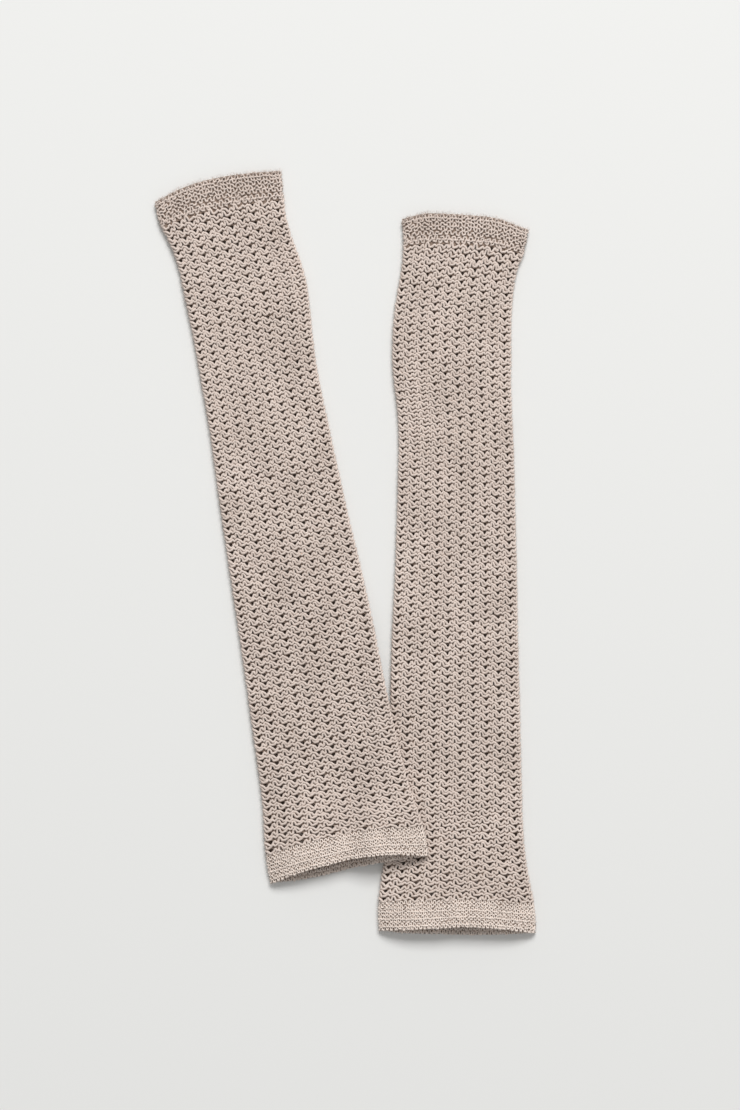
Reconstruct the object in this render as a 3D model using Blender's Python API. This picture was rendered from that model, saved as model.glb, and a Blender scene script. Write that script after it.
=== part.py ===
"""A pair of long knitted arm warmers laid flat, the left one over the lower half of the right one.

Each arm warmer is a flattened tube with a wrist band at its narrow end and an arm band at its
wide end. Sizes are in millimetres and become metres when the meshes are made.
X runs to the right and Y towards the wrists. The surface they lie on is Z = 0.
"""
import math
from collections import namedtuple

import bpy

METRES = 0.001

# Driving dimensions of the knitted cloth.
WALL = 2.1
LAYER_GAP = 1.0
SEAM_GAP = 0.3
ARM_BAND = 20.0
WRIST_BAND = 18.0

# The arm bands stand open: the upper layer lifts and draws back from the hem of the lower one.
MOUTH_GAPE = 7.0
MOUTH_DEPTH = 62.0
HEM_REACH = 55.0
WRIST_REACH = 45.0

# Where one arm warmer lies on the other it climbs over the edge in a soft slope.
CLIMB_LENGTH = 21.0
CLIMB_END = 4.0
RESTING_GAP = 0.35

# A soft roll stands along a side fold, this wide.
ROLL_WIDTH = 15.0

# Each ring has this many points across a layer and round a side fold.
LAYER_POINTS = 13
FOLD_POINTS = 5

FOLD_RADIUS = WALL + LAYER_GAP / 2.0

KNIT_COLOUR = (0.520, 0.440, 0.392, 1.0)
BAND_COLOUR = (0.560, 0.478, 0.428, 1.0)
KNIT_ROUGHNESS = 0.92

# One row for each section: its distance from the hem, the distances of both side folds from
# the axis, and the height of the roll along each of them.
Section = namedtuple("Section", "along left right left_roll right_roll")

LEFT_SECTIONS = [
    Section(0.0, 54.0, 54.0, 0.0, 0.0),
    Section(10.0, 54.2, 54.2, 0.0, 0.0),
    Section(22.0, 53.3, 53.8, 0.0, 0.0),
    Section(32.0, 52.0, 52.0, 0.0, 0.4),
    Section(50.0, 49.5, 49.7, 0.0, 0.8),
    Section(70.0, 47.9, 48.2, 0.0, 0.8),
    Section(95.0, 46.8, 47.2, 0.0, 0.8),
    Section(125.0, 45.1, 46.8, 0.0, 0.4),
    Section(160.0, 43.4, 46.6, 0.0, 0.0),
    Section(195.0, 42.0, 45.6, 0.0, 0.0),
    Section(230.0, 40.4, 44.0, 0.3, 0.0),
    Section(265.0, 38.8, 43.0, 0.3, 0.0),
    Section(300.0, 36.8, 42.2, 0.0, 0.3),
    Section(330.0, 36.1, 41.9, 0.0, 0.9),
    Section(350.0, 35.9, 42.9, 0.0, 1.3),
    Section(372.0, 35.7, 44.8, 0.0, 1.6),
    Section(395.0, 36.3, 45.7, 0.0, 1.3),
    Section(411.0, 36.4, 43.5, 0.0, 0.6),
    Section(424.0, 37.8, 41.4, 0.0, 0.0),
    Section(436.0, 40.4, 40.8, 0.0, 0.0),
    Section(448.0, 43.6, 42.2, 0.0, 0.0),
    Section(462.0, 44.3, 43.4, 0.0, 0.0),
]

RIGHT_SECTIONS = [
    Section(0.0, 53.0, 52.4, 0.0, 0.0),
    Section(10.0, 53.7, 52.2, 0.0, 0.0),
    Section(22.0, 53.3, 50.6, 0.0, 0.0),
    Section(32.0, 52.0, 48.3, 0.0, 0.0),
    Section(50.0, 49.8, 45.0, 0.0, 0.0),
    Section(70.0, 49.0, 43.0, 0.0, 0.0),
    Section(95.0, 48.4, 41.9, 0.0, 0.0),
    Section(125.0, 47.6, 40.8, 0.0, 0.2),
    Section(160.0, 46.9, 39.6, 0.0, 0.3),
    Section(195.0, 46.3, 38.2, 0.0, 0.3),
    Section(230.0, 45.0, 37.2, 0.0, 0.3),
    Section(265.0, 44.0, 36.0, 0.0, 0.0),
    Section(300.0, 43.5, 34.7, 0.4, 0.0),
    Section(330.0, 43.3, 33.5, 1.0, 0.0),
    Section(350.0, 44.6, 32.3, 1.5, 0.0),
    Section(366.0, 46.9, 31.6, 1.8, 0.0),
    Section(384.0, 48.1, 31.6, 1.6, 0.0),
    Section(402.0, 47.8, 31.3, 1.0, 0.0),
    Section(418.0, 46.4, 31.8, 0.4, 0.0),
    Section(432.0, 44.2, 33.0, 0.0, 0.0),
    Section(444.0, 42.3, 35.2, 0.0, 0.0),
    Section(456.0, 41.6, 39.4, 0.0, 0.0),
    Section(473.0, 43.2, 42.4, 0.0, 0.0),
]

# How far the wrist edge, and each layer of the arm hem, stands past the end of its sections.
# Across runs from -1 at the left fold to 1 at the right fold.
EdgeRow = namedtuple("EdgeRow", "across wrist upper_hem lower_hem")

LEFT_EDGES = [
    EdgeRow(-1.0, -1.0, 0.6, 0.6),
    EdgeRow(-0.7, 3.0, 3.6, -1.0),
    EdgeRow(-0.3, 6.0, 5.6, -1.0),
    EdgeRow(0.1, 6.6, 6.6, 0.4),
    EdgeRow(0.5, 5.8, 5.4, 0.2),
    EdgeRow(1.0, 3.4, -0.4, -0.6),
]

RIGHT_EDGES = [
    EdgeRow(-1.0, 2.0, 1.0, 0.4),
    EdgeRow(-0.7, 5.3, 1.8, -1.0),
    EdgeRow(-0.3, 5.5, 3.0, -1.4),
    EdgeRow(0.1, 4.6, 4.2, -1.6),
    EdgeRow(0.5, 3.0, 3.4, -1.4),
    EdgeRow(1.0, -4.0, 0.4, 0.0),
]

# An arm warmer's place: the middle of its hem and the lean of its axis from Y towards -X.
ArmWarmer = namedtuple("ArmWarmer", "side hem_x hem_y lean sections edges")

RIGHT = ArmWarmer("right", 75.0, -253.0, math.radians(-0.65), RIGHT_SECTIONS, RIGHT_EDGES)
LEFT = ArmWarmer("left", 3.0, -210.7, math.radians(10.88), LEFT_SECTIONS, LEFT_EDGES)


def soft_step(value):
    """Rise smoothly from 0 to 1 while the value goes from 0 to 1."""
    value = min(max(value, 0.0), 1.0)
    return value * value * (3.0 - 2.0 * value)


def blend_rows(rows, key, value):
    """Read a table at a value of its key column, on straight lines between the rows."""
    first = rows[0]
    last = rows[-1]
    if value <= getattr(first, key):
        return first
    for low, high in zip(rows, rows[1:]):
        if value <= getattr(high, key):
            share = (value - getattr(low, key)) / (getattr(high, key) - getattr(low, key))
            return type(first)(*(a + (b - a) * share for a, b in zip(low, high)))
    return last


def length_of(arm):
    return arm.sections[-1].along


def across_at(section, offset):
    """Turn a distance from the axis into -1 at the left fold to 1 at the right fold."""
    middle = (section.right - section.left) / 2.0
    half = (section.right + section.left) / 2.0 - FOLD_RADIUS
    return min(max((offset - middle) / half, -1.0), 1.0)


def layer_height(section, along, offset):
    """Height of the space between the two layers."""
    across = across_at(section, offset)
    gape = MOUTH_GAPE * (1.0 - soft_step(along / MOUTH_DEPTH)) * (1.0 - across ** 4)
    from_left = (offset + section.left - FOLD_RADIUS) / ROLL_WIDTH
    from_right = (section.right - FOLD_RADIUS - offset) / ROLL_WIDTH
    left_roll = section.left_roll * math.sin(math.pi * min(max(from_left, 0.0), 1.0))
    right_roll = section.right_roll * math.sin(math.pi * min(max(from_right, 0.0), 1.0))
    return LAYER_GAP + gape + left_roll + right_roll


def place_on_plane(arm, along, offset):
    """Turn distances along and across an arm warmer into X and Y."""
    x = arm.hem_x - along * math.sin(arm.lean) + offset * math.cos(arm.lean)
    y = arm.hem_y + along * math.cos(arm.lean) + offset * math.sin(arm.lean)
    return x, y


def place_on_arm(arm, x, y):
    """Turn X and Y into distances along and across an arm warmer."""
    east = x - arm.hem_x
    north = y - arm.hem_y
    along = north * math.cos(arm.lean) - east * math.sin(arm.lean)
    offset = east * math.cos(arm.lean) + north * math.sin(arm.lean)
    return along, offset


def height_of_support(arm, x, y):
    """Height on which the left arm warmer lies: the surface, or the top of the right one."""
    if arm.side == "right":
        return 0.0
    along, offset = place_on_arm(RIGHT, x, y)
    section = blend_rows(RIGHT.sections, "along", along)
    top = 2.0 * WALL + layer_height(section, along, offset) + RESTING_GAP
    inside = offset + section.left
    return top * soft_step((inside + CLIMB_END + CLIMB_LENGTH) / CLIMB_LENGTH)


def edge_shift(arm, section, along, offset, is_upper):
    """Move the ends of the tube to the shape of the hem and of the wrist edge."""
    edge = blend_rows(arm.edges, "across", across_at(section, offset))
    hem = edge.upper_hem if is_upper else edge.lower_hem
    near_hem = max(0.0, 1.0 - along / HEM_REACH)
    near_wrist = max(0.0, 1.0 - (length_of(arm) - along) / WRIST_REACH)
    return hem * near_hem + edge.wrist * near_wrist


def ring_profile(section, along, inset):
    """Points of one ring as (offset, height, is_upper), set in from the outer surface."""
    left = -section.left + FOLD_RADIUS
    right = section.right - FOLD_RADIUS
    radius = FOLD_RADIUS - inset
    steps = [index / (LAYER_POINTS - 1) for index in range(LAYER_POINTS)]
    turns = [math.pi * (index + 1) / (FOLD_POINTS + 1) for index in range(FOLD_POINTS)]
    profile = []
    for step in steps:
        profile.append((left + (right - left) * step, inset, False))
    for turn in turns:
        height = FOLD_RADIUS - radius * math.cos(turn)
        profile.append((right + radius * math.sin(turn), height, turn > math.pi / 2.0))
    for step in steps:
        offset = right + (left - right) * step
        height = 2.0 * WALL + layer_height(section, along, offset) - inset
        profile.append((offset, height, True))
    for turn in turns:
        height = FOLD_RADIUS + radius * math.cos(turn)
        profile.append((left - radius * math.sin(turn), height, turn < math.pi / 2.0))
    return profile


def ring_points(arm, along, inset):
    """Points of one ring in X, Y and Z."""
    section = blend_rows(arm.sections, "along", along)
    points = []
    for offset, height, is_upper in ring_profile(section, along, inset):
        shifted = along + edge_shift(arm, section, along, offset, is_upper)
        x, y = place_on_plane(arm, shifted, offset)
        points.append((x, y, height + height_of_support(arm, x, y)))
    return points


def stations_between(arm, start, end):
    """Distances from the hem at which a piece has its rings."""
    inner = [row.along for row in arm.sections if start + 2.0 < row.along < end - 2.0]
    return [start] + inner + [end]


def wall_faces(ring_count, size):
    """Quads of an open tube wall: outer skin, inner skin and the two end edges."""
    inner_start = ring_count * size
    last = (ring_count - 1) * size
    faces = []
    for side in range(size):
        after = (side + 1) % size
        for ring in range(ring_count - 1):
            low = ring * size
            high = low + size
            faces.append((low + side, high + side, high + after, low + after))
            faces.append((inner_start + low + side, inner_start + low + after,
                          inner_start + high + after, inner_start + high + side))
        faces.append((side, after, inner_start + after, inner_start + side))
        faces.append((last + side, inner_start + last + side, inner_start + last + after,
                      last + after))
    return faces


def make_piece(arm, part_name, start, end, material, middle):
    """Build one knitted piece between two distances from the hem."""
    stations = stations_between(arm, start, end)
    outer = [point for along in stations for point in ring_points(arm, along, 0.0)]
    inner = [point for along in stations for point in ring_points(arm, along, WALL)]
    points = [((x - middle[0]) * METRES, (y - middle[1]) * METRES, z * METRES)
              for x, y, z in outer + inner]
    size = 2 * (LAYER_POINTS + FOLD_POINTS)
    mesh = bpy.data.meshes.new(arm.side + "_" + part_name)
    mesh.from_pydata(points, [], wall_faces(len(stations), size))
    mesh.materials.append(material)
    mesh.shade_smooth()
    mesh.set_sharp_from_angle(angle=math.radians(40.0))
    piece = bpy.data.objects.new(arm.side + "_" + part_name, mesh)
    bpy.context.scene.collection.objects.link(piece)
    return piece


def middle_of_pair():
    """Middle of the outline of both arm warmers, which becomes the origin."""
    outline = []
    for arm in (LEFT, RIGHT):
        for along in stations_between(arm, 0.0, length_of(arm)):
            outline.extend(ring_points(arm, along, 0.0))
    xs = [point[0] for point in outline]
    ys = [point[1] for point in outline]
    return (min(xs) + max(xs)) / 2.0, (min(ys) + max(ys)) / 2.0


def make_material(name, colour):
    material = bpy.data.materials.new(name)
    material.use_nodes = True
    shader = material.node_tree.nodes["Principled BSDF"]
    shader.inputs["Base Color"].default_value = colour
    shader.inputs["Roughness"].default_value = KNIT_ROUGHNESS
    shader.inputs["Metallic"].default_value = 0.0
    return material


def make_arm_warmer(arm, middle):
    """Build the tube and its two bands, a narrow seam gap apart."""
    length = length_of(arm)
    half_seam = SEAM_GAP / 2.0
    band = make_material(arm.side + "_band_knit", BAND_COLOUR)
    knit = make_material(arm.side + "_eyelet_knit", KNIT_COLOUR)
    wrist = make_material(arm.side + "_wrist_knit", BAND_COLOUR)
    make_piece(arm, "arm_band", 0.0, ARM_BAND - half_seam, band, middle)
    make_piece(arm, "tube", ARM_BAND + half_seam, length - WRIST_BAND - half_seam, knit, middle)
    make_piece(arm, "wrist_band", length - WRIST_BAND + half_seam, length, wrist, middle)


def clear_scene():
    for item in list(bpy.data.objects):
        bpy.data.objects.remove(item, do_unlink=True)


def main():
    clear_scene()
    middle = middle_of_pair()
    for arm in (RIGHT, LEFT):
        make_arm_warmer(arm, middle)


main()
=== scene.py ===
# %% [markdown]
# A pair of knitted arm warmers, laid flat
#
# This lesson dresses the plain walls of two arm warmers with real knitting. Each arm warmer is
# one long flat tube: a dense band at the wrist, openwork eyelet knit along the arm, and a finer
# dense band at the upper arm. The walls were made elsewhere and come in as a fixed frame. Nothing
# here moves or resizes them: the knitting is laid on the same form.

# %% Load the frame
import math
from collections import namedtuple

import bpy
import numpy as np
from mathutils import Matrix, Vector


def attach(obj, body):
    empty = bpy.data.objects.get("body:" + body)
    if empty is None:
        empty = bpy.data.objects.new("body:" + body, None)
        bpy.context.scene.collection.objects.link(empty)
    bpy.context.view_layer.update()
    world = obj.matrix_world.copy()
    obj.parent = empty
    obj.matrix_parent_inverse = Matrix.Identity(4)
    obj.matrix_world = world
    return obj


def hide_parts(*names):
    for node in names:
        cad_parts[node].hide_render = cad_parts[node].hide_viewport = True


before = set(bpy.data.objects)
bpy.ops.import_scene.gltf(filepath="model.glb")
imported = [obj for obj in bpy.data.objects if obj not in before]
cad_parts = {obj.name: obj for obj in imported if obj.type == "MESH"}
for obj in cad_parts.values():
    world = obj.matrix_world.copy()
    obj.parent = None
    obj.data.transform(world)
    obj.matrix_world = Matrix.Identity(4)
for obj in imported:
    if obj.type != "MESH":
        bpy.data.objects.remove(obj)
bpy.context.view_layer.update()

MM = 0.001

# %% [markdown]
# The form of an arm warmer
#
# Laid flat, the tube has a lower layer on the surface, an upper layer a millimetre above it and
# a tight fold along each side. So its form is a row of flattened rings. A short table gives the
# distance of both folds from the axis at each distance from the arm hem, as one would measure a
# sleeve with a ruler, and a smooth curve is drawn through the rows. Heights along the sides give
# the soft rolls that stand where the cloth doesn't quite lie down.

# %% Sizes of the cloth
WALL = 2.1
LAYER_GAP = 1.0
FOLD_RADIUS = WALL + LAYER_GAP / 2.0
MIDDLE_OF_WALL = WALL / 2.0
ARM_BAND = 20.0
WRIST_BAND = 18.0
MOUTH_GAPE = 7.0
MOUTH_DEPTH = 62.0
HEM_REACH = 55.0
WRIST_REACH = 45.0
CLIMB_LENGTH = 21.0
CLIMB_END = 4.0
RESTING_GAP = 0.35
ROLL_WIDTH = 15.0
DEEPEST_TROUGH = -0.6
PAIR_MIDDLE = (-0.06, -0.08)

# %% Section tables
Section = namedtuple("Section", "along left right left_roll right_roll")
LEFT_SECTIONS = [
    Section(0, 54.0, 54.0, 0.0, 0.0),
    Section(10, 54.2, 54.2, 0.0, 0.0),
    Section(22, 53.3, 53.8, 0.0, 0.0),
    Section(32, 52.0, 52.0, 0.0, 0.4),
    Section(50, 49.5, 49.7, 0.0, 0.8),
    Section(70, 47.9, 48.2, 0.0, 0.8),
    Section(95, 46.8, 47.2, 0.0, 0.8),
    Section(125, 45.1, 46.8, 0.0, 0.4),
    Section(160, 43.4, 46.6, 0.0, 0.0),
    Section(195, 42.0, 45.6, 0.0, 0.0),
    Section(230, 40.4, 44.0, 0.3, 0.0),
    Section(265, 38.8, 43.0, 0.3, 0.0),
    Section(300, 36.8, 42.2, 0.0, 0.3),
    Section(330, 36.1, 41.9, 0.0, 0.9),
    Section(350, 35.9, 42.9, 0.0, 1.3),
    Section(372, 35.7, 44.8, 0.0, 1.6),
    Section(395, 36.3, 45.7, 0.0, 1.3),
    Section(411, 36.4, 43.5, 0.0, 0.6),
    Section(424, 37.8, 41.4, 0.0, 0.0),
    Section(436, 40.4, 40.8, 0.0, 0.0),
    Section(448, 43.6, 42.2, 0.0, 0.0),
    Section(462, 44.3, 43.4, 0.0, 0.0),
]
RIGHT_SECTIONS = [
    Section(0, 53.0, 52.4, 0.0, 0.0),
    Section(10, 53.7, 52.2, 0.0, 0.0),
    Section(22, 53.3, 50.6, 0.0, 0.0),
    Section(32, 52.0, 48.3, 0.0, 0.0),
    Section(50, 49.8, 45.0, 0.0, 0.0),
    Section(70, 49.0, 43.0, 0.0, 0.0),
    Section(95, 48.4, 41.9, 0.0, 0.0),
    Section(125, 47.6, 40.8, 0.0, 0.2),
    Section(160, 46.9, 39.6, 0.0, 0.3),
    Section(195, 46.3, 38.2, 0.0, 0.3),
    Section(230, 45.0, 37.2, 0.0, 0.3),
    Section(265, 44.0, 36.0, 0.0, 0.0),
    Section(300, 43.5, 34.7, 0.4, 0.0),
    Section(330, 43.3, 33.5, 1.0, 0.0),
    Section(350, 44.6, 32.3, 1.5, 0.0),
    Section(366, 46.9, 31.6, 1.8, 0.0),
    Section(384, 48.1, 31.6, 1.6, 0.0),
    Section(402, 47.8, 31.3, 1.0, 0.0),
    Section(418, 46.4, 31.8, 0.4, 0.0),
    Section(432, 44.2, 33.0, 0.0, 0.0),
    Section(444, 42.3, 35.2, 0.0, 0.0),
    Section(456, 41.6, 39.4, 0.0, 0.0),
    Section(473, 43.2, 42.4, 0.0, 0.0),
]
EdgeRow = namedtuple("EdgeRow", "across wrist upper_hem lower_hem")
LEFT_EDGES = [
    EdgeRow(-1.0, -1.0, 0.6, 0.6),
    EdgeRow(-0.7, 3.0, 3.6, -1.0),
    EdgeRow(-0.3, 6.0, 5.6, -1.0),
    EdgeRow(0.1, 6.6, 6.6, 0.4),
    EdgeRow(0.5, 5.8, 5.4, 0.2),
    EdgeRow(1.0, 3.4, -0.4, -0.6),
]
RIGHT_EDGES = [
    EdgeRow(-1.0, 2.0, 1.0, 0.4),
    EdgeRow(-0.7, 5.3, 1.8, -1.0),
    EdgeRow(-0.3, 5.5, 3.0, -1.4),
    EdgeRow(0.1, 4.6, 4.2, -1.6),
    EdgeRow(0.5, 3.0, 3.4, -1.4),
    EdgeRow(1.0, -4.0, 0.4, 0.0),
]

# %% [markdown]
# Creases
#
# Washed knitting never lies quite flat. A few long, shallow swells and troughs are listed, each
# by its middle, its length and width, its turn from the axis and its height. They are soft bell
# shapes, so they have no edge that the light could catch.

# %% Crease tables
Crease = namedtuple("Crease", "along across length width turn height")
LEFT_CREASES = [
    Crease(452, -4, 60, 4.5, 84, -0.55),
    Crease(404, 18, 60, 12, -14, 0.5),
    Crease(372, -14, 70, 13, 10, 0.4),
    Crease(330, 12, 60, 10, -24, -0.4),
    Crease(282, -10, 80, 14, 18, 0.45),
    Crease(240, 16, 90, 12, -12, -0.35),
    Crease(196, -8, 70, 14, 22, 0.4),
    Crease(150, 10, 80, 13, -16, 0.4),
    Crease(104, -18, 70, 12, 10, -0.35),
    Crease(76, 20, 60, 10, 8, 0.6),
    Crease(24, 0, 70, 3.2, 88, -0.4),
]
RIGHT_CREASES = [
    Crease(462, 2, 60, 4.5, 92, -0.55),
    Crease(420, -16, 50, 10, 12, 0.45),
    Crease(378, 8, 70, 12, -12, -0.35),
    Crease(344, -26, 60, 7, 4, -0.6),
    Crease(300, 6, 80, 13, 14, 0.4),
    Crease(252, -12, 70, 12, -18, -0.35),
    Crease(206, 10, 90, 14, 8, 0.4),
    Crease(158, -6, 70, 12, -10, 0.35),
    Crease(112, 14, 80, 13, 16, -0.35),
    Crease(66, 4, 60, 12, -8, 0.4),
    Crease(24, 0, 70, 3.2, 90, -0.4),
]

# %% The two arm warmers
ArmWarmer = namedtuple("ArmWarmer", "side hem_x hem_y lean sections edges creases course_slope")
RIGHT = ArmWarmer("right", 75.0, -253.0, math.radians(-0.65), RIGHT_SECTIONS, RIGHT_EDGES,
                  RIGHT_CREASES, (0.0, -0.075, -0.075))
LEFT = ArmWarmer("left", 3.0, -210.7, math.radians(10.88), LEFT_SECTIONS, LEFT_EDGES,
                 LEFT_CREASES, (-0.02, -0.11, 0.02))


def length_of(arm):
    return arm.sections[-1].along


print("lengths in mm:", length_of(LEFT), length_of(RIGHT))


# %% [markdown]
# From cloth to space
#
# Every stitch is first placed on the flat cloth: so far along the tube, and so far round it. One
# function then takes any such place, and a height above the middle of the wall, to a point in
# space. It works on whole arrays, so that half a million points take a moment.

# %% Curves through the tables
def soft_step(value):
    value = np.clip(value, 0.0, 1.0)
    return value * value * (3.0 - 2.0 * value)


def smooth_column(rows, key, name, value):
    """Read one column of a table on a smooth curve through its rows."""
    keys = np.array([getattr(row, key) for row in rows], float)
    column = np.array([getattr(row, name) for row in rows], float)
    slopes = np.gradient(column, keys)
    value = np.clip(value, keys[0], keys[-1])
    low = np.clip(np.searchsorted(keys, value) - 1, 0, len(keys) - 2)
    step = keys[low + 1] - keys[low]
    share = (value - keys[low]) / step
    rise = soft_step(share)
    start = share * (1.0 - share) ** 2 * step * slopes[low]
    end = share * share * (share - 1.0) * step * slopes[low + 1]
    return column[low] * (1.0 - rise) + column[low + 1] * rise + start + end


halfway = smooth_column(RIGHT.sections, "along", "left", np.array([236.5]))
print("from the axis to the left fold, halfway up the right one, mm:", halfway.round(2).tolist())


# %% Heights between the layers
def across_at(left, right, offset):
    """Distance from the axis as -1 at the left fold to 1 at the right fold."""
    middle = (right - left) / 2.0
    half = (right + left) / 2.0 - FOLD_RADIUS
    return np.clip((offset - middle) / half, -1.0, 1.0)


def crease_height(arm, along, offset):
    """Sum of the listed swells and troughs."""
    total = np.zeros_like(along)
    for crease in arm.creases:
        turn = math.radians(crease.turn)
        ahead = along - crease.along
        beside = offset - crease.across
        lengthways = (ahead * math.cos(turn) + beside * math.sin(turn)) / crease.length
        sideways = (beside * math.cos(turn) - ahead * math.sin(turn)) / crease.width
        total += crease.height * np.exp(-2.0 * (lengthways ** 2 + sideways ** 2))
    return total


def layer_height(arm, left, right, along, offset):
    """Height of the space between the two layers."""
    across = across_at(left, right, offset)
    dome = 1.0 - across ** 4
    gape = MOUTH_GAPE * (1.0 - soft_step(along / MOUTH_DEPTH)) * dome
    from_left = np.clip((offset + left - FOLD_RADIUS) / ROLL_WIDTH, 0.0, 1.0)
    from_right = np.clip((right - FOLD_RADIUS - offset) / ROLL_WIDTH, 0.0, 1.0)
    left_roll = smooth_column(arm.sections, "along", "left_roll", along)
    right_roll = smooth_column(arm.sections, "along", "right_roll", along)
    rolls = left_roll * np.sin(math.pi * from_left) + right_roll * np.sin(math.pi * from_right)
    swell = np.maximum(crease_height(arm, along, offset) * dome, DEEPEST_TROUGH)
    return LAYER_GAP + gape + rolls + swell


mouth = layer_height(RIGHT, np.array([53.0]), np.array([52.4]), np.array([0.0]), np.array([0.0]))
print("space between the layers at the right mouth, mm:", mouth.round(2).tolist())


# %% Places on the plane
def place_on_plane(arm, along, offset):
    x = arm.hem_x - along * math.sin(arm.lean) + offset * math.cos(arm.lean)
    y = arm.hem_y + along * math.cos(arm.lean) + offset * math.sin(arm.lean)
    return x, y


def height_of_support(arm, x, y):
    """Height on which an arm warmer lies: the surface, or the top of the right one."""
    if arm.side == "right":
        return np.zeros_like(x)
    east = x - RIGHT.hem_x
    north = y - RIGHT.hem_y
    along = north * math.cos(RIGHT.lean) - east * math.sin(RIGHT.lean)
    offset = east * math.cos(RIGHT.lean) + north * math.sin(RIGHT.lean)
    left = smooth_column(RIGHT.sections, "along", "left", along)
    right = smooth_column(RIGHT.sections, "along", "right", along)
    top = 2.0 * WALL + layer_height(RIGHT, left, right, along, offset) + RESTING_GAP
    return top * soft_step((offset + left + CLIMB_END + CLIMB_LENGTH) / CLIMB_LENGTH)


support = height_of_support(LEFT, np.array([40.0]), np.array([-190.0]))
print("the left one lies this high where it crosses, mm:", support.round(2).tolist())


# %% A point of the cloth in space
def ring_place(arm, along, around):
    """Offset from the axis, height, and upper share of a point; around runs 0 to 1 from the
    left fold over the upper layer to the right fold and back below."""
    left = smooth_column(arm.sections, "along", "left", along)
    right = smooth_column(arm.sections, "along", "right", along)
    bend = FOLD_RADIUS - MIDDLE_OF_WALL
    flat = left + right - 2.0 * FOLD_RADIUS
    half_ring = flat + math.pi * bend
    around = np.mod(around, 1.0)
    is_upper = around < 0.5
    travelled = np.where(is_upper, around, 1.0 - around) * 2.0 * half_ring
    quarter = math.pi * bend / 2.0
    on_left = travelled < quarter
    on_right = travelled > quarter + flat
    turn = np.where(on_left, travelled, np.where(on_right, half_ring - travelled, quarter)) / bend
    offset = np.clip(travelled - quarter, 0.0, flat) - left + FOLD_RADIUS
    offset = offset + np.where(on_left, -1.0, np.where(on_right, 1.0, 0.0)) * bend * np.cos(turn)
    level = np.where(is_upper, 1.0, -1.0) * bend * np.sin(turn)
    extra = layer_height(arm, left, right, along, offset) - LAYER_GAP
    lift = np.where(is_upper, extra * np.sin(turn), 0.0)
    return offset, FOLD_RADIUS + level + lift, left, right, is_upper


def mid_point(arm, along, around):
    """Point on the middle of the wall, in millimetres."""
    offset, height, left, right, is_upper = ring_place(arm, along, around)
    across = across_at(left, right, offset)
    upper = smooth_column(arm.edges, "across", "upper_hem", across)
    lower = smooth_column(arm.edges, "across", "lower_hem", across)
    wrist = smooth_column(arm.edges, "across", "wrist", across)
    near_hem = np.maximum(0.0, 1.0 - along / HEM_REACH)
    near_wrist = np.maximum(0.0, 1.0 - (length_of(arm) - along) / WRIST_REACH)
    shifted = along + np.where(is_upper, upper, lower) * near_hem + wrist * near_wrist
    x, y = place_on_plane(arm, shifted, offset)
    height = height + height_of_support(arm, x, y)
    return np.stack([x - PAIR_MIDDLE[0], y - PAIR_MIDDLE[1], height], axis=-1)


def drape(arm, along, around, proud):
    """Points that stand proud of the middle of the wall, in metres."""
    step_along = 0.5
    step_around = 0.002
    point = mid_point(arm, along, around)
    ahead = mid_point(arm, along + step_along, around)
    behind = mid_point(arm, along - step_along, around)
    after = mid_point(arm, along, around + step_around)
    before = mid_point(arm, along, around - step_around)
    normal = np.cross(after - before, ahead - behind)
    normal /= np.linalg.norm(normal, axis=-1, keepdims=True) + 1e-9
    return (point + normal * proud[..., None]) * MM


test = drape(RIGHT, np.array([200.0, 200.0]), np.array([0.25, 0.75]), np.array([1.0, 1.0]))
print("upper and lower layer at 200 mm:", test.round(5).tolist())

# %% [markdown]
# The knit
#
# The openwork is a mesh knit: each round opens an eyelet at every second column, and the next
# round opens the columns between. Each round is one wavy yarn, so it is a row of bends. The
# charts below are given over two columns of the repeat. They say how far across and how high
# each bend lies, how far it stands proud of the wall, and how fat the yarn is there. The eyelet
# is the place that the yarn leaves free between its first and last bends. The plain bands have a
# chart of their own, of small steps up and down, as purl stitches have.

# %% Bend charts
Bend = namedtuple("Bend", "across rise proud width")
EYELET_CHART = [
    Bend(0.035, -0.78, 0.35, 0.85),
    Bend(0.12, -0.52, 0.20, 0.80),
    Bend(0.195, -0.10, 0.10, 0.82),
    Bend(0.235, 0.10, 0.30, 0.90),
    Bend(0.31, 0.19, 0.45, 1.00),
    Bend(0.345, -0.22, 0.40, 0.92),
    Bend(0.42, -0.45, 0.35, 0.85),
    Bend(0.495, -0.26, 0.20, 0.66),
    Bend(0.505, 0.14, 0.00, 0.46),
    Bend(0.565, 0.66, 0.40, 0.80),
    Bend(0.665, 0.66, 0.40, 0.80),
    Bend(0.735, 0.14, 0.00, 0.46),
    Bend(0.765, -0.28, 0.15, 0.66),
    Bend(0.87, -0.38, 0.40, 1.00),
    Bend(0.98, -0.30, 0.45, 1.05),
    Bend(1.075, -0.18, 0.35, 1.10),
    Bend(1.155, 0.08, 0.40, 1.15),
    Bend(1.24, 0.20, 0.50, 1.10),
    Bend(1.335, -0.20, 0.48, 1.14),
    Bend(1.43, -0.06, 0.25, 0.98),
    Bend(1.50, 0.08, 0.35, 1.22),
    Bend(1.58, 0.32, 0.45, 1.28),
    Bend(1.665, 0.10, 0.25, 1.12),
    Bend(1.75, 0.02, 0.45, 1.25),
    Bend(1.85, -0.30, 0.62, 1.08),
    Bend(1.94, -0.72, 0.45, 0.90),
]
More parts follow.
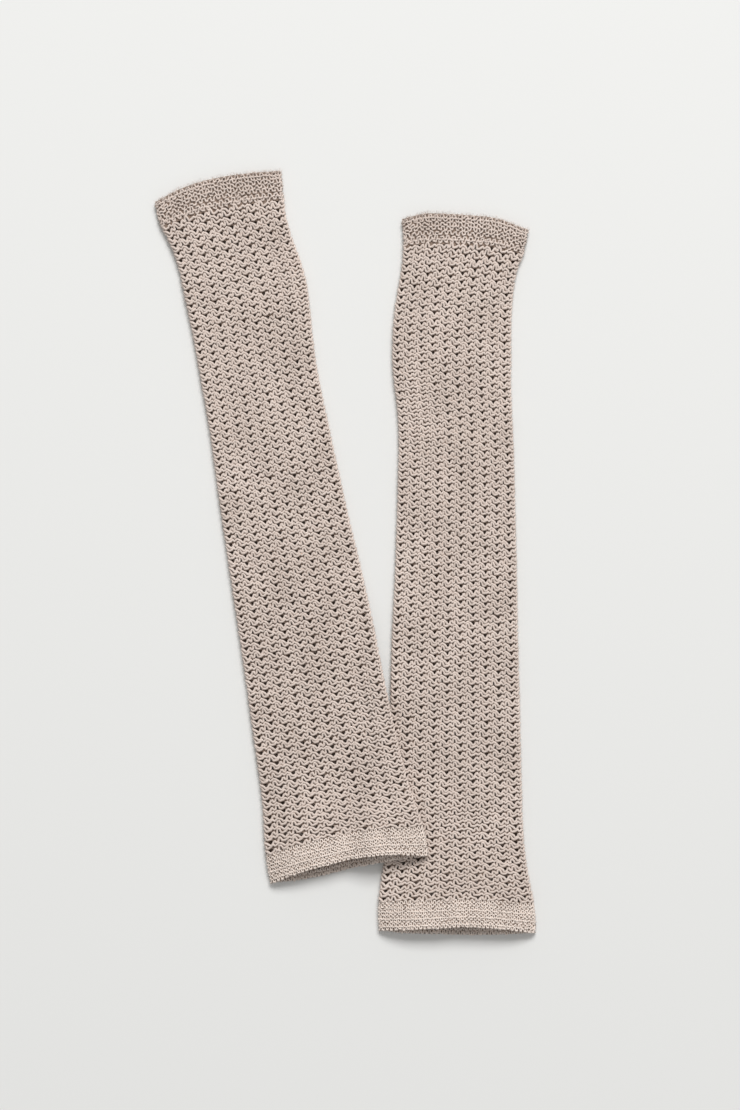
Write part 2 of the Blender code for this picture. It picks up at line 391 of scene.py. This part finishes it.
PURL_CHART = [
    Bend(0.08, -0.40, 0.35, 1.00),
    Bend(0.42, -0.40, 0.35, 1.00),
    Bend(0.50, 0.00, -0.25, 0.75),
    Bend(0.58, 0.40, 0.35, 1.00),
    Bend(0.92, 0.40, 0.35, 1.00),
    Bend(1.00, 0.00, -0.25, 0.75),
    Bend(1.08, -0.32, 0.35, 1.00),
    Bend(1.42, -0.44, 0.40, 1.05),
    Bend(1.50, 0.00, -0.30, 0.75),
    Bend(1.58, 0.32, 0.40, 1.05),
    Bend(1.92, 0.44, 0.35, 1.00),
    Bend(2.00, 0.00, -0.30, 0.75),
]
EYELET_COLUMNS = 20
EYELET_PHASE = 0.4
EYELET_LOOSE = 0.045
ROUND_HEIGHT = 2.665
EYELET_YARN = 0.86
Band = namedtuple("Band", "rounds columns loose yarn")
ARM_BAND_KNIT = Band(8, 76, 0.12, 0.60)
WRIST_BAND_KNIT = Band(7, 42, 0.13, 0.78)
INSIDE_KNIT = Band(7, 66, 0.10, 0.58)
INSIDE_START = 0.4
INSIDE_DEPTH = 18.0
INSIDE_PHASE = 0.5
INSIDE_PROUD = -0.9
INSIDE_RELIEF = 0.8
UNDER_SINK = 0.32
UNDER_TURN = 40.0
TUBE_SEED = 11
BAND_SEED = 23
INSIDE_SEED = 15
print("bends in the charts:", len(EYELET_CHART), len(PURL_CHART))

# %% [markdown]
# Tight places
#
# The openwork isn't open everywhere. Where the cloth is bunched, or is worked more tightly next to
# a band, the eyelets close. Each such place has a middle, a length and a width, and a share of how
# far its eyelets are drawn together.

# %% Close the eyelets in tight places
CLOSING_REACH = 0.35
CLOSING_PULL = 0.8
CLOSING_LIFT = 0.35
Tight = namedtuple("Tight", "along around length width share")
TIGHT_PLACES = {
    "right": [Tight(345, 0.10, 40, 0.10, 1.0), Tight(26, 0.30, 7, 0.30, 0.6),
              Tight(452, 0.15, 8, 0.20, 0.7), Tight(71, 0.29, 20, 0.13, 0.9)],
    "left": [Tight(392, 0.45, 32, 0.07, 0.8), Tight(92, 0.43, 42, 0.07, 0.6),
             Tight(28, 0.38, 9, 0.10, 0.9), Tight(441, 0.30, 7, 0.25, 0.6)],
}


def tightness(side, along, around):
    """How far the eyelets are closed, from 0 to 1, where the cloth is bunched or worked tight."""
    total = np.zeros_like(along)
    for place in TIGHT_PLACES[side]:
        ahead = (along - place.along) / place.length
        beside = (around - place.around) / place.width
        total += place.share * np.exp(-1.5 * (ahead ** 2 + beside ** 2))
    return np.clip(total, 0.0, 1.0)


def close_eyelets(arm, along, around, phase, pitch):
    """Draw the yarn together over the eyelets in the tight places."""
    share = tightness(arm.side, along, around)
    row = np.arange(along.shape[0])[:, None]
    across = around * EYELET_COLUMNS - phase - row % 2
    beside = np.mod(across + 1.0, 2.0) - 1.0
    near = share * np.clip(1.0 - np.abs(beside) / CLOSING_REACH, 0.0, 1.0)
    moved = around - CLOSING_PULL * beside * near / EYELET_COLUMNS
    return along + CLOSING_LIFT * pitch * near, moved


print("tight places:", {side: len(places) for side, places in TIGHT_PLACES.items()})

# %% [markdown]
# From charts to rounds
#
# A chart gives one repeat. Rounds set it end to end right round the tube, with a little chance in
# every bend, because no two stitches are alike. Laid cloth also twists, so the rounds fall to one
# side along the arm, alike in both layers.

# %% The path of a round
SLOPE_FADE = 24.0
SLOPE_REACH = 42.0


def round_paths(start, end, rounds, columns, chart, phase, loose, seed):
    """Bends of every round between two distances from the hem, once right round the tube.

    Every second round is moved by half of the chart."""
    rng = np.random.default_rng(seed)
    pitch = (end - start) / rounds
    half = len(chart) // 2
    half_span = round(chart[-1].across) // 2
    table = np.array(chart)
    first = -int(round((0.25 + phase) * half / half_span))
    number = np.arange(first, first + columns * half // half_span + 1)[None, :]
    row = np.arange(rounds)[:, None]
    moved = number + half * (row % 2)
    across, rise, proud, width = np.moveaxis(table[moved % len(chart)], -1, 0)
    across = across + half_span * (2.0 * (moved // len(chart)) - (row % 2))
    shape = across.shape
    across = across + rng.normal(0.0, 0.35 * loose, shape)
    across = across + rng.normal(0.0, 0.5 * loose, (rounds, 1))
    rise = rise + rng.normal(0.0, loose, shape)
    rise = rise + rng.normal(0.0, 0.8 * loose, (rounds, 1))
    proud = proud + rng.normal(0.0, 1.2 * loose, shape)
    width = width * (1.0 + rng.normal(0.0, loose, shape))
    along = start + (row + 0.5 + rise) * pitch
    return along, (across + phase) / columns, proud, width


def tilt_rounds(arm, along, around):
    """Let the rounds fall to one side along the arm, alike in both layers, and level at the
    bands."""
    share = np.mod(around, 1.0)
    sway = np.where(share < 0.5, share, 1.0 - share) * 4.0 - 1.0
    low = ARM_BAND
    high = length_of(arm) - WRIST_BAND
    slope = np.interp(along, [low, (low + high) / 2.0, high], arm.course_slope)
    level = soft_step((along - low) / SLOPE_FADE) * soft_step((high - along) / SLOPE_FADE)
    return along + slope * sway * level * SLOPE_REACH


sample = round_paths(0.0, ROUND_HEIGHT, 1, EYELET_COLUMNS, EYELET_CHART, 0.0, 0.0, TUBE_SEED)
print("bends in one round of openwork:", sample[0].shape[1])

# %% [markdown]
# Yarn by Geometry Nodes
#
# A path is only a line. A small node tree turns a mesh of edges into curves and sweeps a round
# profile along them, which makes yarn. The path's own width makes the yarn fat or thin from bend
# to bend. Radius, sides and material are named inputs of the tree, so the openwork, the bands
# and the loose fibres all come from the same tree.

# %% The yarn tree
def make_yarn_tree():
    """Edges in, swept yarn out."""
    tree = bpy.data.node_groups.new("yarn_along_rounds", "GeometryNodeTree")
    face = tree.interface
    face.new_socket("Geometry", in_out="INPUT", socket_type="NodeSocketGeometry")
    face.new_socket("Yarn Radius", in_out="INPUT", socket_type="NodeSocketFloat")
    face.new_socket("Yarn Sides", in_out="INPUT", socket_type="NodeSocketInt")
    face.new_socket("Yarn Material", in_out="INPUT", socket_type="NodeSocketMaterial")
    face.new_socket("Geometry", in_out="OUTPUT", socket_type="NodeSocketGeometry")
    source = tree.nodes.new("NodeGroupInput")
    result = tree.nodes.new("NodeGroupOutput")
    to_curve = tree.nodes.new("GeometryNodeMeshToCurve")
    profile = tree.nodes.new("GeometryNodeCurvePrimitiveCircle")
    sweep = tree.nodes.new("GeometryNodeCurveToMesh")
    width = tree.nodes.new("GeometryNodeInputNamedAttribute")
    width.data_type = "FLOAT"
    width.inputs["Name"].default_value = "width"
    widen = tree.nodes.new("GeometryNodeSetCurveRadius")
    smooth = tree.nodes.new("GeometryNodeSetShadeSmooth")
    realize = tree.nodes.new("GeometryNodeRealizeInstances")
    finish = tree.nodes.new("GeometryNodeSetMaterial")
    link = tree.links.new
    link(source.outputs["Geometry"], to_curve.inputs["Mesh"])
    link(source.outputs["Yarn Radius"], profile.inputs["Radius"])
    link(source.outputs["Yarn Sides"], profile.inputs["Resolution"])
    link(to_curve.outputs["Curve"], widen.inputs["Curve"])
    link(width.outputs["Attribute"], widen.inputs["Radius"])
    link(widen.outputs["Curve"], sweep.inputs["Curve"])
    link(profile.outputs["Curve"], sweep.inputs["Profile Curve"])
    link(sweep.outputs["Mesh"], smooth.inputs["Geometry"])
    link(smooth.outputs["Geometry"], realize.inputs["Geometry"])
    link(realize.outputs["Geometry"], finish.inputs["Geometry"])
    link(source.outputs["Yarn Material"], finish.inputs["Material"])
    link(finish.outputs["Geometry"], result.inputs["Geometry"])
    return tree


YARN_TREE = make_yarn_tree()
print("yarn tree:", [item.name for item in YARN_TREE.interface.items_tree])


def set_inputs(modifier, values):
    """Set a node modifier's inputs by their socket identifiers."""
    for item in modifier.node_group.interface.items_tree:
        if item.in_out == "INPUT" and item.name in values:
            modifier[item.identifier] = values[item.name]


def link_mesh(name, mesh):
    piece = bpy.data.objects.new(name, mesh)
    bpy.context.scene.collection.objects.link(piece)
    return piece


def sweep_yarn(name, points, width, radius, sides, material):
    """Sweep yarn along rows of points shaped (rounds, points, 3) and return a plain mesh object."""
    rounds, count, _ = points.shape
    mesh = bpy.data.meshes.new(name + "_path")
    number = np.arange(rounds * count).reshape(rounds, count)
    edges = np.stack([number[:, :-1].ravel(), number[:, 1:].ravel()], axis=1)
    mesh.from_pydata(points.reshape(-1, 3).tolist(), edges.tolist(), [])
    mesh.attributes.new("width", "FLOAT", "POINT").data.foreach_set("value", width.ravel())
    guide = link_mesh(name + "_path", mesh)
    modifier = guide.modifiers.new("yarn", "NODES")
    modifier.node_group = YARN_TREE
    set_inputs(modifier, {"Yarn Radius": radius * MM, "Yarn Sides": sides,
                          "Yarn Material": material})
    graph = bpy.context.evaluated_depsgraph_get()
    swept = bpy.data.meshes.new_from_object(guide.evaluated_get(graph))
    swept.name = name
    bpy.data.objects.remove(guide, do_unlink=True)
    piece = link_mesh(name, swept)
    print(name, "triangles:", sum(len(face.vertices) - 2 for face in swept.polygons))
    return piece


# %% [markdown]
# The yarn's finish
#
# The yarn is matte cotton in a warm taupe. The arm band and the back of its knitting get a lighter
# copy of it, painted light for the dense knit, which holds less shade. The cloth behind the yarn is
# dark brown, painted shade between the stitches. Real yarn is never one colour: a little light and
# dark runs along it, and fine fibres blur its surface. The pattern is read from the object's own
# coordinates, so it stays on the cloth in every view.

# %% Yarn material
def make_knit_material(name, light, dark):
    material = bpy.data.materials.new(name)
    material.use_nodes = True
    tree = material.node_tree
    shader = tree.nodes["Principled BSDF"]
    shader.inputs["Roughness"].default_value = 0.92
    shader.inputs["Specular IOR Level"].default_value = 0.18
    shader.inputs["Sheen Weight"].default_value = 0.1
    shader.inputs["Sheen Roughness"].default_value = 0.6
    place = tree.nodes.new("ShaderNodeTexCoord")
    speckle = tree.nodes.new("ShaderNodeTexNoise")
    speckle.inputs["Scale"].default_value = 900.0
    speckle.inputs["Detail"].default_value = 3.0
    cloud = tree.nodes.new("ShaderNodeTexNoise")
    cloud.inputs["Scale"].default_value = 34.0
    cloud.inputs["Detail"].default_value = 2.0
    blend = tree.nodes.new("ShaderNodeMath")
    blend.operation = "MULTIPLY_ADD"
    blend.inputs[1].default_value = 0.45
    ramp = tree.nodes.new("ShaderNodeMapRange")
    ramp.inputs["From Min"].default_value = 0.45
    ramp.inputs["From Max"].default_value = 1.0
    colour = tree.nodes.new("ShaderNodeMix")
    colour.data_type = "RGBA"
    colour.inputs[6].default_value = dark
    colour.inputs[7].default_value = light
    bump = tree.nodes.new("ShaderNodeBump")
    bump.inputs["Strength"].default_value = 0.35
    bump.inputs["Distance"].default_value = 0.0003
    link = tree.links.new
    link(place.outputs["Object"], speckle.inputs["Vector"])
    link(place.outputs["Object"], cloud.inputs["Vector"])
    link(cloud.outputs["Fac"], blend.inputs[0])
    link(speckle.outputs["Fac"], blend.inputs[2])
    link(blend.outputs["Value"], ramp.inputs["Value"])
    link(ramp.outputs["Result"], colour.inputs[0])
    link(colour.outputs[2], shader.inputs["Base Color"])
    link(speckle.outputs["Fac"], bump.inputs["Height"])
    link(bump.outputs["Normal"], shader.inputs["Normal"])
    return material


YARN = make_knit_material("taupe_yarn", (0.81, 0.697, 0.63, 1.0), (0.55, 0.457, 0.40, 1.0))
# A lighter copy of the same yarn: painted light for the dense arm band and the back of its
# knitting.
BAND_YARN_PAINTED_LIGHT = make_knit_material("taupe_band_yarn_painted_light", (0.97, 0.86, 0.785, 1.0),
                               (0.70, 0.60, 0.53, 1.0))
# Dark brown for the shell behind the yarn: painted shade between the stitches.
BODY_PAINTED_SHADE = make_knit_material("knit_body_painted_shade", (0.30, 0.225, 0.18, 1.0), (0.22, 0.16, 0.125, 1.0))
print("materials:", [material.name for material in (YARN, BAND_YARN_PAINTED_LIGHT, BODY_PAINTED_SHADE)])

# %% [markdown]
# The body of the knit
#
# Behind the yarn heads, the legs and fibres of the stitches close the cloth. A thin shell near
# the middle of the wall stands for them. Its dark brown is painted shade, the shade that falls
# between the stitches. It has a real gap at each eyelet, and a smaller one beside it where the yarn
# crosses, so that one looks through the upper layer into the dark between the layers.

# %% Shell with eyelets
COLUMN_LINES = (-0.13, 0.14, 0.55, 0.70)
ROUND_LINES = (0.0, 0.86)
BODY_PROUD = -0.35
BAND_ROWS = 7
END_INSET = 0.2
ARM_BAND_INSET = 1.5
WRIST_BAND_INSET = 0.4


def make_body(arm, name, rounds, phase, material):
    """A thin cloth shell all round, with an opening left at each eyelet."""
    low = ARM_BAND
    high = length_of(arm) - WRIST_BAND
    pitch = (high - low) / rounds
    tube = [low + (row + line) * pitch for row in range(rounds) for line in ROUND_LINES]
    arm_band = np.linspace(END_INSET, low - ARM_BAND_INSET, BAND_ROWS).tolist()
    wrist_band = np.linspace(high + WRIST_BAND_INSET, length_of(arm) - END_INSET,
                             BAND_ROWS).tolist()
    sides = [column + line + phase for column in range(EYELET_COLUMNS) for line in COLUMN_LINES]
    along, side = np.meshgrid(np.array(arm_band + tube + wrist_band), np.array(sides),
                              indexing="ij")
    around = side / EYELET_COLUMNS
    points = drape(arm, tilt_rounds(arm, along, around), around,
                   np.full_like(around, BODY_PROUD))
    count_up, count_side = along.shape
    faces = []
    for row in range(count_up - 1):
        tube_row = row - len(arm_band)
        is_eyelet_row = 0 <= tube_row < 2 * rounds and tube_row % 2 == 0
        for column in range(count_side):
            is_open = column % 2 == 0 and (column // 4 + tube_row // 2) % 2 == 0
            if is_eyelet_row and is_open:
                continue
            after = (column + 1) % count_side
            bottom = row * count_side
            top = bottom + count_side
            faces.append((bottom + column, bottom + after, top + after, top + column))
    mesh = bpy.data.meshes.new(name)
    mesh.from_pydata(points.reshape(-1, 3).tolist(), [], faces)
    mesh.materials.append(material)
    mesh.shade_smooth()
    body = link_mesh(name, mesh)
    print(name, "triangles:", 2 * len(faces))
    return body


# %% [markdown]
# Knitting one arm warmer
#
# The openwork is knitted in two lengths on top and one below, then the two bands, and the back of
# the arm band's knitting, which shows where the mouth gapes. The lower layer rests on the floor,
# so its yarn has fewer bends and sides.

# %% Knit the openwork and the bands
def join_library(piece, arm, part):
    """Hide the plain wall that a knitted piece takes the place of, and hang the piece on the root
    body.
    """
    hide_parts(f"{arm.side}_{part}")
    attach(piece, "root")


def sink_below(around, proud):
    """Keep the yarn of the lower layer off the floor."""
    return proud - UNDER_SINK * soft_step((np.mod(around, 1.0) - 0.5) * UNDER_TURN)


def knit_tube(arm, rounds):
    """Openwork along the arm, in two lengths on top and one below."""
    low = ARM_BAND
    high = length_of(arm) - WRIST_BAND
    along, around, proud, width = round_paths(low, high, rounds, EYELET_COLUMNS, EYELET_CHART,
                                              EYELET_PHASE, EYELET_LOOSE, TUBE_SEED)
    along, around = close_eyelets(arm, along, around, EYELET_PHASE, (high - low) / rounds)
    proud = sink_below(around, proud)
    points = drape(arm, tilt_rounds(arm, along, around), around, proud)
    half = rounds // 2
    top = int(round((EYELET_COLUMNS / 2.0 + 0.5) * len(EYELET_CHART) / 2.0))
    pieces = []
    for label, rows, places, sides in (("arm_upper", slice(0, half), slice(0, top + 1), 5),
                                       ("wrist_upper", slice(half, rounds), slice(0, top + 1), 5),
                                       ("under", slice(0, rounds), slice(top, None, 2), 3)):
        piece = sweep_yarn(f"{arm.side}_{label}_knit", points[rows, places],
                           width[rows, places], EYELET_YARN, sides, YARN)
        join_library(piece, arm, "tube")
        pieces.append(piece)
    return pieces


def knit_band(arm, label, low, high, knit, material):
    """A band without eyelets, once right round."""
    along, around, proud, width = round_paths(low, high, knit.rounds, knit.columns, PURL_CHART,
                                              0.0, knit.loose, BAND_SEED)
    points = drape(arm, along, around, sink_below(around, proud))
    band = sweep_yarn(f"{arm.side}_{label}_knit", points, width, knit.yarn, 4, material)
    join_library(band, arm, label)
    return band


def knit_inside(arm):
    """The back of the band's knitting, which shows where the mouth gapes."""
    knit = INSIDE_KNIT
    along, around, proud, width = round_paths(INSIDE_START, INSIDE_DEPTH, knit.rounds, knit.columns,
                                              PURL_CHART, INSIDE_PHASE, knit.loose, INSIDE_SEED)
    points = drape(arm, along, around, INSIDE_PROUD + INSIDE_RELIEF * proud)
    # The back of the band's knitting takes the lighter yarn copy, painted light.
    inside = sweep_yarn(f"{arm.side}_arm_band_inside_knit", points, width, knit.yarn, 4, BAND_YARN_PAINTED_LIGHT)
    join_library(inside, arm, "arm_band")
    return inside


# %% Loose fibres
FIBRE_COUNT = 1500
FIBRE_SEED = 16
FIBRE_RADIUS = 0.06
FIBRE_POINTS = 4
FIBRE_FOOT = 0.9
WRIST_END_SHARE = 0.22
FACE_SHARE = 0.62
LEAST_HEIGHT = 0.1


def make_fibres(arm):
    """Loose ends of cotton that stand off the cloth, most of them along its outline."""
    rng = np.random.default_rng(FIBRE_SEED)
    count = FIBRE_COUNT
    length = length_of(arm)
    kind = rng.random(count)
    is_at_wrist = kind < WRIST_END_SHARE
    along = rng.uniform(1.0, length, count)
    along = np.where(is_at_wrist, length - rng.uniform(0.0, 1.5, count), along)
    around = rng.uniform(0.0, 0.5, count)
    fold = np.where(rng.random(count) < 0.5, 0.0, 0.5)
    around = np.where(kind > FACE_SHARE, fold + rng.normal(0.0, 0.008, count), around)
    share = np.linspace(0.0, 1.0, FIBRE_POINTS)[None, :]
    curl = np.sin(share * math.pi) * rng.normal(0.0, 0.5, (count, 1))
    end_along = np.where(is_at_wrist, rng.uniform(0.6, 1.8, count), rng.normal(0.0, 1.0, count))
    end_around = rng.normal(0.0, 0.007, count)
    end_proud = rng.uniform(0.3, 1.1, count)
    points = drape(arm, along[:, None] + end_along[:, None] * share + curl,
                   around[:, None] + end_around[:, None] * share,
                   FIBRE_FOOT + end_proud[:, None] * share + 0.4 * curl)
    points[..., 2] = np.maximum(points[..., 2], LEAST_HEIGHT * MM)
    width = np.broadcast_to(1.0 - 0.5 * share, points.shape[:2])
    fibres = sweep_yarn(f"{arm.side}_loose_fibres", points, width, FIBRE_RADIUS, 3, YARN)
    join_library(fibres, arm, "tube")
    return fibres


# %% [markdown]
# The cut
#
# A knitted tube is one sheet, worked in the round. Slit along a fold and laid flat it is as wide
# as both layers and the bend round both folds. Its width and area are worked out from the section
# table, so that they stay true when the table changes.

# %% Make the pair
def cut_size(arm):
    """Greatest width, length and area of the tube, slit open and laid flat, in metres."""
    along = [row.along * MM for row in arm.sections]
    bend = 2.0 * math.pi * (FOLD_RADIUS - MIDDLE_OF_WALL)
    girth = [(2.0 * (row.left + row.right - 2.0 * FOLD_RADIUS) + bend) * MM
             for row in arm.sections]
    area = sum((girth[i] + girth[i + 1]) / 2.0 * (along[i + 1] - along[i])
               for i in range(len(along) - 1))
    return max(girth), along[-1], area


def make_arm_warmer(arm):
    length = length_of(arm)
    rounds = int(round((length - ARM_BAND - WRIST_BAND) / ROUND_HEIGHT / 2.0)) * 2
    made = knit_tube(arm, rounds)
    # The arm band takes the lighter yarn copy, painted light; the wrist band takes the plain yarn.
    made.append(knit_band(arm, "arm_band", 0.0, ARM_BAND, ARM_BAND_KNIT, BAND_YARN_PAINTED_LIGHT))
    made.append(knit_inside(arm))
    made.append(knit_band(arm, "wrist_band", length - WRIST_BAND, length, WRIST_BAND_KNIT, YARN))
    # The shell is coloured dark brown: painted shade between the stitches.
    body = make_body(arm, f"{arm.side}_knit_body_painted_shade", rounds, EYELET_PHASE, BODY_PAINTED_SHADE)
    join_library(body, arm, "tube")
    made.append(make_fibres(arm))
    width, length, area = cut_size(arm)
    print(arm.side, "cut, metres and square metres:", [round(v, 4) for v in (width, length, area)])


for arm in (RIGHT, LEFT):
    make_arm_warmer(arm)

# %% [markdown]
# The studio
#
# The pair was photographed straight from above on a pale, plain surface, under one large soft
# light above the wrist ends and a bright even surround.

# %% Floor, light and camera
PIXEL = 0.48 / 720.0
PHOTO_WIDTH = 740.0
CAMERA_PLACE = (0.0167, -0.0016, 2.4)
FLOOR_REACH = 14.0
LAMP_PLACE = (0.85, 4.3, 4.4)
LAMP_WIDTH = 3.3
LAMP_DEPTH = 2.3
LAMP_POWER = 347.0
SURROUND_STRENGTH = 0.42


def make_floor():
    mesh = bpy.data.meshes.new("floor")
    reach = FLOOR_REACH
    mesh.from_pydata([(-reach, -reach, 0.0), (reach, -reach, 0.0), (reach, reach, 0.0),
                      (-reach, reach, 0.0)], [], [(0, 1, 2, 3)])
    floor = link_mesh("floor", mesh)
    material = bpy.data.materials.new("pale_floor")
    material.use_nodes = True
    shader = material.node_tree.nodes["Principled BSDF"]
    shader.inputs["Base Color"].default_value = (0.80, 0.80, 0.785, 1.0)
    shader.inputs["Roughness"].default_value = 0.9
    mesh.materials.append(material)


def make_light():
    lamp = bpy.data.lights.new("soft_light", "AREA")
    lamp.shape = "RECTANGLE"
    lamp.size = LAMP_WIDTH
    lamp.size_y = LAMP_DEPTH
    lamp.energy = LAMP_POWER
    key = bpy.data.objects.new("soft_light", lamp)
    key.location = LAMP_PLACE
    aim = Vector((0.0, 0.0, 0.0)) - key.location
    key.rotation_euler = aim.to_track_quat("-Z", "Y").to_euler()
    bpy.context.scene.collection.objects.link(key)
    world = bpy.data.worlds.new("soft_surround")
    world.use_nodes = True
    world.node_tree.nodes["Background"].inputs["Color"].default_value = (1.0, 1.0, 0.995, 1.0)
    world.node_tree.nodes["Background"].inputs["Strength"].default_value = SURROUND_STRENGTH
    bpy.context.scene.world = world
    bpy.context.scene.view_settings.view_transform = "Standard"


def make_camera():
    lens = bpy.data.cameras.new("camera")
    lens.sensor_fit = "HORIZONTAL"
    lens.angle = 2.0 * math.atan(PHOTO_WIDTH * PIXEL / 2.0 / CAMERA_PLACE[2])
    lens.clip_end = 20.0
    eye = bpy.data.objects.new("camera", lens)
    eye.location = CAMERA_PLACE
    bpy.context.scene.collection.objects.link(eye)
    bpy.context.scene.camera = eye


make_floor()
make_light()
make_camera()
print("camera height:", CAMERA_PLACE[2])
